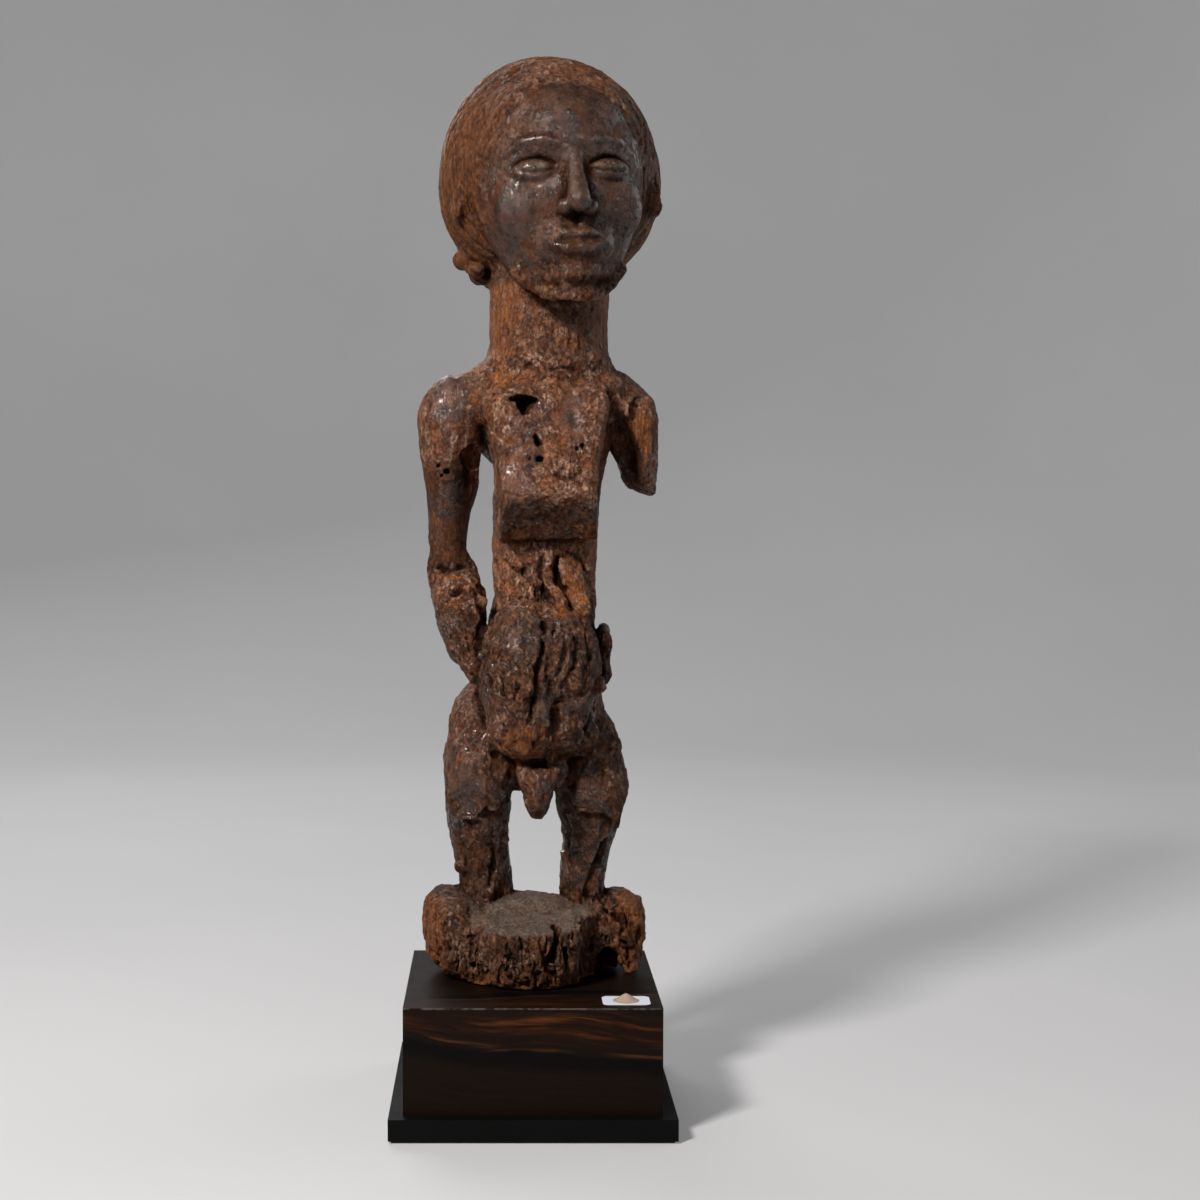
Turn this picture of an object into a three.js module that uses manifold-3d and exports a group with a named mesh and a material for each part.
// A carved hardwood ancestor figure standing on a two-tier display plinth.
// Millimetres, +Z up, the figure faces -Y. The origin is the middle of the plinth's underside.
// The figure is one piece of wood. It slides down over two steel pins that stand out of the plinth.
import * as THREE from "three";
import { mergeVertices } from "three/addons/utils/BufferGeometryUtils.js";
import Module from "manifold-3d";

const wasm = await Module();
wasm.setup();

// ---- Driving dimensions ----
const BLOCK_WIDTH = 162; // the veneered block, square in plan
const BLOCK_HEIGHT = 67.5;
const VENEER = 1; // thickness of each veneer leaf
const PLATE_WIDTH = 180; // the black lower plate
const PLATE_THICKNESS = 13.5;
const FELT_THICKNESS = 1.5;
const FELT_INSET = 2; // how far the felt stays back from the plate's edge

const PIN_RADIUS = 4;
const PIN_STAND_OUT = 34; // length of pin above the block
const PIN_CLEARANCE = 0.3; // around the pin, in the figure
const PIN_FIT = 0.05; // around the pin, in the plinth
const NUT_ACROSS_FLATS = 13;
const NUT_HEIGHT = 6.5;
const WASHER_RADIUS = 8;
const WASHER_THICKNESS = 1.5;

const SCREW_RADIUS = 2;
const SCREW_HEAD_RADIUS = 4;
const SCREW_LENGTH = 36;
const SCREW_INSET = 24; // from the block's sides to a screw's axis

const STATURE = 608; // the carved figure alone
const STATION_HEIGHT = 608; // the stations below are written for this stature
const FIGURE_PLACE = new THREE.Vector2(6, 12); // the figure's own axis on the plinth
const FIGURE_TURN = 4; // degrees, towards its own left
const HEAD_TURN = 6; // degrees more than the body
const HEAD_TILT = 2.5; // degrees, crown towards its own right
const SEAT_GAP = 0.3; // between the figure's underside and the plinth

const CARD_SIZE = new THREE.Vector2(30, 22);
const CARD_THICKNESS = 0.25;
const CARD_CORNER = 4;
const CARD_PLACE = new THREE.Vector2(59, -62);
const DAB_RADIUS = 8.5;
const DAB_HEIGHT = 4.5;

// ---- Heights and places worked out from them ----
const PLATE_BOTTOM = FELT_THICKNESS;
const BLOCK_BOTTOM = PLATE_BOTTOM + PLATE_THICKNESS;
const BLOCK_TOP = BLOCK_BOTTOM + BLOCK_HEIGHT;
const CORE_WIDTH = BLOCK_WIDTH - 2 * VENEER;
const CORE_TOP = BLOCK_TOP - VENEER;
const PIN_POCKET = 12; // depth of the pocket that holds a pin's washer and nut
const PIN_PLACES = [
  { side: "right", x: -34, y: 18 },
  { side: "left", x: 32, y: 24 },
]; // under the figure's own right and left ankle

const WOOD = { patina: "#4a3327", ebony: "#2e1c14", core: "#9a7650", black: "#141414" };

// ---- Solids ----
function solid(geometry) {
  const bare = geometry.index ? geometry.toNonIndexed() : geometry.clone();
  for (const name of Object.keys(bare.attributes)) {
    if (name !== "position") bare.deleteAttribute(name);
  }
  const merged = mergeVertices(bare, 1e-3);
  return new wasm.Manifold(
    new wasm.Mesh({
      numProp: 3,
      vertProperties: merged.attributes.position.array,
      triVerts: new Uint32Array(merged.index.array),
    }),
  );
}

function geometryOf(manifold) {
  const mesh = manifold.getMesh();
  const geometry = new THREE.BufferGeometry();
  geometry.setAttribute("position", new THREE.BufferAttribute(mesh.vertProperties, 3));
  geometry.setIndex(new THREE.BufferAttribute(mesh.triVerts, 1));
  const faceted = geometry.toNonIndexed();
  faceted.computeVertexNormals();
  return faceted;
}

function box(width, depth, height, x, y, bottom) {
  return new THREE.BoxGeometry(width, depth, height).translate(x, y, bottom + height / 2);
}

// An upright cylinder, or a prism with few sides, from bottom to top.
function upright(radius, x, y, bottom, top, sides = 32, topRadius = radius) {
  return new THREE.CylinderGeometry(topRadius, radius, top - bottom, sides)
    .rotateX(Math.PI / 2)
    .translate(x, y, (bottom + top) / 2);
}

// A closed body through stations of elliptical rings. Each station is
// [x, y, z, half width, half depth in front, half depth behind, squareness]. The rings lie level, or
// stand square to the line through their centres. The cylinder's own rings are moved on to them.
function lofted(stations, sides = 20, level = true) {
  const centres = stations.map(([x, y, z]) => new THREE.Vector3(x, y, z));
  const frames = centres.map((centre, i) => {
    const before = centres[Math.max(i - 1, 0)];
    const after = centres[Math.min(i + 1, centres.length - 1)];
    const along = level ? new THREE.Vector3(0, 0, -1) : after.clone().sub(before).normalize();
    const across = new THREE.Vector3(1, 0, 0).addScaledVector(along, -along.x).normalize();
    return { across, front: along.clone().cross(across) };
  });
  const rings = stations.length - 1;
  const geometry = new THREE.CylinderGeometry(1, 1, 1, sides, rings);
  const points = geometry.attributes.position;
  const point = new THREE.Vector3();
  for (let i = 0; i < points.count; i++) {
    point.fromBufferAttribute(points, i);
    const at = Math.round((0.5 - point.y) * rings);
    const [, , , width, front, back = front, square = 2] = stations[at];
    const fullness = (Math.abs(point.x) ** square + Math.abs(point.z) ** square) ** (-1 / square);
    const reach = Math.hypot(point.x, point.z) < 0.5 ? 0 : fullness;
    const depth = point.z > 0 ? front : back;
    const moved = centres[at]
      .clone()
      .addScaledVector(frames[at].across, point.x * reach * width)
      .addScaledVector(frames[at].front, point.z * reach * depth);
    points.setXYZ(i, moved.x, moved.y, moved.z);
  }
  return solid(geometry);
}

// A ball squashed to its half sizes, turned by degrees about X, Y and Z, then set in its place.
function ellipsoid(x, y, z, halfWidth, halfDepth, halfHeight, turn = [0, 0, 0]) {
  return solid(new THREE.SphereGeometry(1, 16, 10).scale(halfWidth, halfDepth, halfHeight))
    .rotate(turn)
    .translate([x, y, z]);
}

const joined = (solids) => solids.reduce((whole, piece) => whole.add(piece));
const pair = (make) => [-1, 1].map(make);

// ---- The carved figure, in its own frame: its underside is at z = 0 ----
function head() {
  const headAxis = 12;
  const coiffure = lofted([
    [0, 12, 608, 10, 10],
    [0, 12, 604, 26, 22, 22],
    [0, 12, 597, 39, 35, 34],
    [0, 12, 585, 53, 46, 45],
    [0, 12, 566, 65, 54, 54],
    [0, 12, 545, 71.5, 56, 58],
    [0, 12, 522, 74, 52, 58],
    [0, 14, 503, 71, 46, 54],
    [0, 17, 484, 62, 39, 46],
    [0, 22, 468, 46, 28, 36],
    [0, 26, 458, 25, 14, 20],
  ]);
  const face = lofted([
    [0, -8, 588, 30, 20, 20],
    [0, -8, 580, 42, 38, 20],
    [0, -8, 568, 51, 48, 20],
    [0, -6, 547, 57, 57, 20],
    [0, -6, 522, 57.5, 59, 20],
    [0, -8, 500, 53, 57, 20],
    [0, -12, 482, 46, 51, 20],
    [0, -20, 465, 36, 40, 20],
    [0, -28, 452, 25, 28, 20],
    [0, -33, 446, 10, 12, 10],
  ]);
  const sockets = pair((side) => ellipsoid(side * 25, -64, 524, 19, 10, 11, [0, 0, side * 16]));
  const eyes = pair((side) => ellipsoid(side * 25, -50, 523, 15, 8, 5.5, [0, 0, side * 16]));
  const brows = pair((side) => ellipsoid(side * 26, -53, 541, 22, 8, 4.5, [0, side * 6, side * 18]));
  const ears = pair((side) => ellipsoid(side * 61, -8, 514, 7, 6, 13));
  const nose = lofted(
    [
      [0, -62, 547, 5, 4, 6],
      [0, -66, 530, 6.5, 7, 8],
      [0, -68, 516, 8.5, 9, 10],
      [0, -67, 506, 13, 10, 10],
      [0, -62, 499, 9, 5, 6],
    ],
    12,
  );
  const lips = [
    ellipsoid(0, -58, 487, 17, 9, 4.2),
    ellipsoid(0, -57, 479.5, 14, 9, 4.2),
  ];
  const beard = lofted([
    [0, -26, 459, 33, 32, 20],
    [0, -30, 453, 31, 30, 20],
    [0, -33, 446, 20, 21, 12],
    [0, -33, 442, 10, 11, 8],
  ]);
  const bun = lofted([
    [0, 58, 548, 18, 8, 8, 3],
    [0, 60, 538, 28, 12, 12, 3],
    [0, 61, 505, 32, 13, 13, 3],
    [0, 58, 482, 27, 12, 12, 3],
    [0, 52, 470, 15, 8, 8, 3],
  ]);
  const curls = ellipsoid(-51, 22, 472, 14, 12, 11);
  return joined([coiffure, face])
    .subtract(joined(sockets))
    .add(joined([nose, beard, bun, curls, ...lips, ...brows, ...eyes, ...ears]))
    .translate([0, 0, -450])
    .rotate([0, -HEAD_TILT, HEAD_TURN])
    .translate([headAxis, 0, 450]);
}

function trunk() {
  const neck = lofted([
    [6, 8, 480, 36, 34],
    [5.5, 8, 455, 38.5, 36],
    [5, 8, 430, 38.5, 37],
    [5, 8, 414, 39, 37],
    [5, 8, 406, 42, 36],
    [5, 8, 396, 40, 30],
  ]);
  const torso = lofted([
    [4, 9, 410, 38, 24, 28],
    [3, 9, 403, 49, 29, 31],
    [2, 9, 394, 61, 32, 34],
    [3, 8, 380, 60, 33, 35],
    [4, 8, 360, 48, 32, 35],
    [4, 8, 340, 41, 31, 34],
    [4, 8, 310, 36, 30, 32],
    [4, 8, 280, 34.5, 29, 30],
    [3.5, 8, 255, 34.5, 31, 30],
    [2, 8, 225, 37, 35, 32],
    [-1, 8, 195, 42, 38, 38],
    [-2, 8, 165, 46, 38, 42],
    [-3, 8, 140, 42, 34, 38],
    [-3, 8, 123, 28, 24, 28],
  ]);
  const chest = lofted(
    [
      [3, 0, 400, 36, 16, 20, 3],
      [3, 0, 386, 43, 28, 20, 4],
      [3, 0, 362, 38, 38, 20, 5],
      [2.5, 0, 338, 33.5, 45, 20, 7],
      [2.5, 0, 315, 31, 51, 20, 8],
      [2.5, 0, 304, 31, 42, 20, 7],
      [3, 0, 290, 31.5, 30, 20, 6],
    ],
    24,
  );
  const shoulderBlades = pair((side) => ellipsoid(4 + side * 20, 30, 368, 21, 13, 28));
  const buttocks = pair((side) => ellipsoid(-3 + side * 23, 36, 163, 23, 19, 27));
  const belly = [
    ellipsoid(-14, -27, 204, 29, 42, 48),
    ellipsoid(9, -23, 206, 29, 41, 46),
    ellipsoid(-6, -23, 168, 31, 36, 24),
  ];
  const stub = lofted(
    [
      [-4, -26, 160, 14, 14],
      [-4, -30, 146, 15.5, 16],
      [-4, -33, 134, 13.5, 14],
      [-4.5, -35, 123, 9.5, 11],
      [-5, -36, 115, 7, 8],
      [-5.5, -36, 109, 4, 4],
    ],
    14,
  );
  return [neck, torso, chest, stub, ...shoulderBlades, ...buttocks, ...belly];
}

function arms() {
  const rightUpperArm = lofted([
    [-53, 10, 398, 8, 8],
    [-55, 10, 393, 16, 15],
    [-57, 10, 384, 21, 18],
    [-58, 10, 370, 22.5, 21],
    [-60, 11, 345, 20, 20],
    [-59, 13, 326, 17.8, 18],
    [-61, 16, 300, 13.8, 16],
    [-61, 18, 283, 13, 15],
    [-57, 20, 266, 16, 15],
    [-56, 20, 250, 10, 10],
  ]);
  const rightForearm = lofted(
    [
      [-58, 28, 266, 8, 9],
      [-57, 20, 262, 16, 16],
      [-55, 4, 250, 18, 18],
      [-53, -10, 234, 17, 17],
      [-48, -24, 216, 12.5, 14],
      [-43, -32, 203, 6, 7],
    ],
    18,
    false,
  );
  const leftStump = lofted([
    [51, 10, 399, 8, 8],
    [54, 10, 393, 16, 15],
    [57, 10, 384, 21, 19],
    [59, 10, 370, 21.5, 21],
    [62, 11, 358, 18.5, 19],
    [66, 12, 342, 14, 17],
    [68.5, 13, 330, 11.2, 14],
    [71, 14, 317, 8, 10],
  ]);
  const leftHand = ellipsoid(42, -9, 213, 8, 13, 21, [0, 6, 0]);
  return [rightUpperArm, rightForearm, leftStump, leftHand];
}

function legs() {
  const rightLeg = lofted([
    [-20, 16, 212, 10, 12, 16],
    [-26, 16, 198, 15, 18, 24],
    [-33, 14, 186, 19, 23, 29],
    [-38, 6, 162, 23.5, 29, 33],
    [-40.5, 0, 140, 23.5, 29, 31],
    [-41, -3, 115, 21.5, 25, 27],
    [-40.5, 2, 95, 20, 22, 24],
    [-38, 6, 77, 18.5, 22, 22],
    [-37, 10, 58, 18.5, 22, 20],
    [-38, 10, 30, 22, 26, 22],
  ]);
  const leftLeg = lofted([
    [12, 16, 208, 8, 12, 16],
    [18, 16, 192, 15, 18, 24],
    [27, 12, 172, 20, 26, 30],
    [30.5, 7, 157, 23.5, 29, 32],
    [32, 2, 139, 25, 29, 31],
    [34, -1, 120, 24.5, 26, 27],
    [34.5, 3, 104, 20.6, 22, 24],
    [32.5, 8, 82, 16.2, 19, 22],
    [30, 11, 60, 15, 18, 20],
    [33, 12, 30, 15, 20, 20],
  ]);
  return [rightLeg, leftLeg];
}

// The base that both feet have merged into, eroded at its edges. Its front corner on the figure's own
// left is lost, and an upright fragment stands beside the gap.
function foot() {
  const mass = lofted(
    [
      [-8, 10, 44, 54, 34, 34, 2.4],
      [-8, 8, 38, 64, 44, 42, 2.4],
      [-8, 6, 26, 70, 50, 46, 2.4],
      [-8, 6, 12, 68, 50, 46, 2.4],
      [-8, 6, 0, 60, 46, 42, 2.4],
    ],
    30,
  );
  const bulge = ellipsoid(-57, 4, 36, 22, 31, 20);
  const prow = lofted([
    [-8, -20, 46, 30, 26, 20, 2.6],
    [-8, -20, 36, 34, 34, 20, 2.6],
    [-8, -20, 18, 34, 35, 20, 2.6],
    [-8, -20, 0, 28, 29, 20, 2.6],
  ]);
  const lostCorner = lofted([
    [60, -44, 60, 32, 34, 30, 2.6],
    [60, -44, 30, 32, 34, 32, 2.6],
    [60, -44, -20, 32, 36, 34, 2.6],
  ]);
  const hollow = ellipsoid(5, -56, 34, 4, 14, 22);
  const fragment = lofted([
    [52, 12, 50, 8, 9],
    [59, 6, 44, 12, 12],
    [60, 3, 32, 12, 14],
    [59, 1, 18, 10, 12],
    [58, 0, -4, 6, 8],
  ]);
  const raisedEdge = solid(box(60, 160, 30, -30, 0, -30)).rotate([0, 26, 0]).translate([-56, 0, 6]);
  return [joined([mass, bulge, prow]).subtract(joined([lostCorner, hollow, raisedEdge])), fragment];
}

// Insect holes in the chest, the long crack down the belly and the channel above it.
function losses() {
  const bore = (radius, sides, x, z, depth) =>
    solid(new THREE.CylinderGeometry(radius, radius * 0.5, depth, sides)).translate([x, -42, z]);
  return [
    bore(8, 3, -13.5, 376, 40),
    bore(3.5, 8, -5.5, 352, 30),
    bore(3, 8, -4.5, 341, 28),
    solid(box(1.8, 14, 60, 0, 0, -30)).rotate([0, 9, 0]).translate([-6.5, -62, 201]),
    ellipsoid(15, -28, 256, 4.5, 10, 26, [0, -22, 0]),
  ];
}

function pinHoles() {
  return PIN_PLACES.map(({ x, y }) =>
    solid(
      upright(PIN_RADIUS + PIN_CLEARANCE, x, y, -10, PIN_STAND_OUT + PIN_CLEARANCE + 2, 24),
    ),
  );
}

function carvedFigure() {
  const body = joined([head(), ...trunk(), ...arms(), ...legs(), ...foot()]);
  const placed = body
    .subtract(joined(losses()))
    .scale(STATURE / STATION_HEIGHT)
    .rotate([0, 0, FIGURE_TURN])
    .translate([FIGURE_PLACE.x, FIGURE_PLACE.y, 0]);
  const below = solid(box(400, 400, 50, 0, 0, -50));
  return placed
    .subtract(joined([below, ...pinHoles()]))
    .translate([0, 0, BLOCK_TOP + SEAT_GAP]);
}

// ---- The plinth ----
function plinthCore() {
  const block = solid(
    box(CORE_WIDTH, CORE_WIDTH, CORE_TOP - BLOCK_BOTTOM, 0, 0, BLOCK_BOTTOM),
  );
  const bores = PIN_PLACES.flatMap(({ x, y }) => [
    solid(upright(PIN_RADIUS + PIN_FIT, x, y, BLOCK_BOTTOM - 1, CORE_TOP + 1)),
    solid(upright(WASHER_RADIUS + 1, x, y, BLOCK_BOTTOM - 1, BLOCK_BOTTOM + PIN_POCKET)),
  ]);
  const pilots = screwPlaces().map(([x, y]) =>
    solid(
      upright(SCREW_RADIUS + PIN_FIT, x, y, BLOCK_BOTTOM - 1, PLATE_BOTTOM + SCREW_LENGTH + 0.5, 16),
    ),
  );
  return block.subtract(joined([...bores, ...pilots]));
}

function topVeneer() {
  const leaf = solid(box(BLOCK_WIDTH, BLOCK_WIDTH, VENEER, 0, 0, CORE_TOP));
  const bores = PIN_PLACES.map(({ x, y }) =>
    solid(upright(PIN_RADIUS + PIN_FIT, x, y, CORE_TOP - 1, BLOCK_TOP + 1)),
  );
  return leaf.subtract(joined(bores));
}

// A wall leaf of veneer: front and back run the full width, left and right fit between them.
function wallVeneer(dx, dy) {
  const height = CORE_TOP - BLOCK_BOTTOM;
  const middle = (BLOCK_WIDTH - VENEER) / 2;
  const width = dx ? VENEER : BLOCK_WIDTH;
  const depth = dy ? VENEER : CORE_WIDTH;
  return solid(box(width, depth, height, dx * middle, dy * middle, BLOCK_BOTTOM));
}

function screwPlaces() {
  const reach = BLOCK_WIDTH / 2 - SCREW_INSET;
  return [
    [-reach, -reach],
    [reach, -reach],
    [reach, reach],
    [-reach, reach],
  ];
}

// A countersunk screw, its head flush with the plate's underside.
function screw([x, y]) {
  const headDepth = SCREW_HEAD_RADIUS - SCREW_RADIUS;
  const head = solid(
    upright(SCREW_HEAD_RADIUS, x, y, PLATE_BOTTOM, PLATE_BOTTOM + headDepth, 24, SCREW_RADIUS),
  );
  const tip = PLATE_BOTTOM + SCREW_LENGTH;
  const shank = solid(upright(SCREW_RADIUS, x, y, PLATE_BOTTOM + 0.5, tip - 4, 16));
  const point = solid(upright(SCREW_RADIUS, x, y, tip - 4, tip, 16, 0.4));
  return joined([head, shank, point]);
}

function driveRecess([x, y]) {
  const slot = (width, depth) => solid(box(width, depth, 1.5, x, y, PLATE_BOTTOM - 0.5));
  return slot(4.4, 0.9).add(slot(0.9, 4.4));
}

function basePlate() {
  const plate = solid(box(PLATE_WIDTH, PLATE_WIDTH, PLATE_THICKNESS, 0, 0, PLATE_BOTTOM));
  const holes = screwPlaces().map((place) => {
    const clear = solid(
      upright(SCREW_RADIUS + PIN_CLEARANCE, ...place, PLATE_BOTTOM - 1, BLOCK_BOTTOM + 1, 16),
    );
    const sink = solid(
      upright(
        SCREW_HEAD_RADIUS + PIN_CLEARANCE + 0.2,
        ...place,
        PLATE_BOTTOM - 0.2,
        PLATE_BOTTOM + SCREW_HEAD_RADIUS - SCREW_RADIUS + PIN_CLEARANCE,
        24,
        SCREW_RADIUS + PIN_CLEARANCE,
      ),
    );
    return clear.add(sink);
  });
  return plate.subtract(joined(holes));
}

function feltSheet() {
  const side = PLATE_WIDTH - 2 * FELT_INSET;
  return solid(box(side, side, FELT_THICKNESS, 0, 0, 0));
}

// ---- The mounting pins and their fasteners ----
function mountPin({ x, y }) {
  const seat = BLOCK_BOTTOM + 1;
  const top = BLOCK_TOP + PIN_STAND_OUT;
  const nose = 1.2;
  return joined([
    solid(upright(PIN_RADIUS, x, y, seat, top - nose)),
    solid(upright(PIN_RADIUS, x, y, top - nose, top, 32, PIN_RADIUS - nose)),
  ]);
}

const pinTread = (x, y) => solid(upright(PIN_RADIUS + PIN_FIT, x, y, BLOCK_BOTTOM, BLOCK_TOP));

function pinWasher({ x, y }) {
  const top = BLOCK_BOTTOM + PIN_POCKET;
  const disc = solid(upright(WASHER_RADIUS, x, y, top - WASHER_THICKNESS, top));
  return disc.subtract(pinTread(x, y));
}

function pinNut({ x, y }) {
  const top = BLOCK_BOTTOM + PIN_POCKET - WASHER_THICKNESS;
  const corner = NUT_ACROSS_FLATS / Math.sqrt(3);
  return solid(upright(corner, x, y, top - NUT_HEIGHT, top, 6)).subtract(pinTread(x, y));
}

// ---- The blank card and the dab of wax on the block ----
function inventoryCard() {
  const [w, h, r] = [CARD_SIZE.x / 2, CARD_SIZE.y / 2, CARD_CORNER];
  const outline = new THREE.Shape()
    .absarc(w - r, h - r, r, 0, Math.PI / 2)
    .absarc(r - w, h - r, r, Math.PI / 2, Math.PI)
    .absarc(r - w, r - h, r, Math.PI, 1.5 * Math.PI)
    .absarc(w - r, r - h, r, 1.5 * Math.PI, 2 * Math.PI);
  const card = new THREE.ExtrudeGeometry(outline, {
    depth: CARD_THICKNESS,
    bevelEnabled: false,
    curveSegments: 6,
  });
  return solid(card.translate(CARD_PLACE.x, CARD_PLACE.y, BLOCK_TOP));
}

function waxDab() {
  const profile = [
    [0, 0],
    [DAB_RADIUS, 0],
    [DAB_RADIUS * 0.72, DAB_HEIGHT * 0.22],
    [DAB_RADIUS * 0.34, DAB_HEIGHT * 0.7],
    [DAB_RADIUS * 0.12, DAB_HEIGHT * 0.95],
    [0, DAB_HEIGHT],
  ].map(([r, z]) => new THREE.Vector2(r, z));
  const dab = new THREE.LatheGeometry(profile, 20).rotateX(Math.PI / 2);
  return solid(dab.translate(CARD_PLACE.x, CARD_PLACE.y, BLOCK_TOP + CARD_THICKNESS));
}

// ---- The assembly ----
const finish = {
  patina: new THREE.MeshStandardMaterial({ color: WOOD.patina, roughness: 0.6 }),
  ebony: new THREE.MeshStandardMaterial({ color: WOOD.ebony, roughness: 0.4 }),
  core: new THREE.MeshStandardMaterial({ color: WOOD.core, roughness: 0.8 }),
  black: new THREE.MeshStandardMaterial({ color: WOOD.black, roughness: 0.5 }),
  felt: new THREE.MeshStandardMaterial({ color: "#1b1d1b", roughness: 1 }),
  steel: new THREE.MeshStandardMaterial({ color: "#9a9da0", roughness: 0.35, metalness: 1 }),
  card: new THREE.MeshStandardMaterial({ color: "#f2f2f4", roughness: 0.7 }),
  wax: new THREE.MeshStandardMaterial({ color: "#b9a08c", roughness: 0.8 }),
};

function named(name, manifold, material) {
  const mesh = new THREE.Mesh(geometryOf(manifold), material);
  mesh.name = name;
  return mesh;
}

const plinth = new THREE.Group();
plinth.add(
  named("felt_sheet", feltSheet(), finish.felt),
  named("base_plate", basePlate(), finish.black),
  named("plinth_core", plinthCore(), finish.core),
  named("veneer_top", topVeneer(), finish.ebony),
  named("veneer_front", wallVeneer(0, -1), finish.ebony),
  named("veneer_back", wallVeneer(0, 1), finish.ebony),
  named("veneer_left", wallVeneer(-1, 0), finish.ebony),
  named("veneer_right", wallVeneer(1, 0), finish.ebony),
  named("inventory_card", inventoryCard(), finish.card),
  named("wax_dab", waxDab(), finish.wax),
);
screwPlaces().forEach((place, i) => {
  const whole = screw(place).subtract(driveRecess(place));
  plinth.add(named(`plate_screw_${i + 1}`, whole, finish.steel));
});
for (const place of PIN_PLACES) {
  plinth.add(
    named(`mount_pin_${place.side}`, mountPin(place), finish.steel),
    named(`pin_washer_${place.side}`, pinWasher(place), finish.steel),
    named(`pin_nut_${place.side}`, pinNut(place), finish.steel),
  );
}

const assembly = new THREE.Group();
assembly.add(plinth, named("carved_figure", carvedFigure(), finish.patina));

export default assembly;
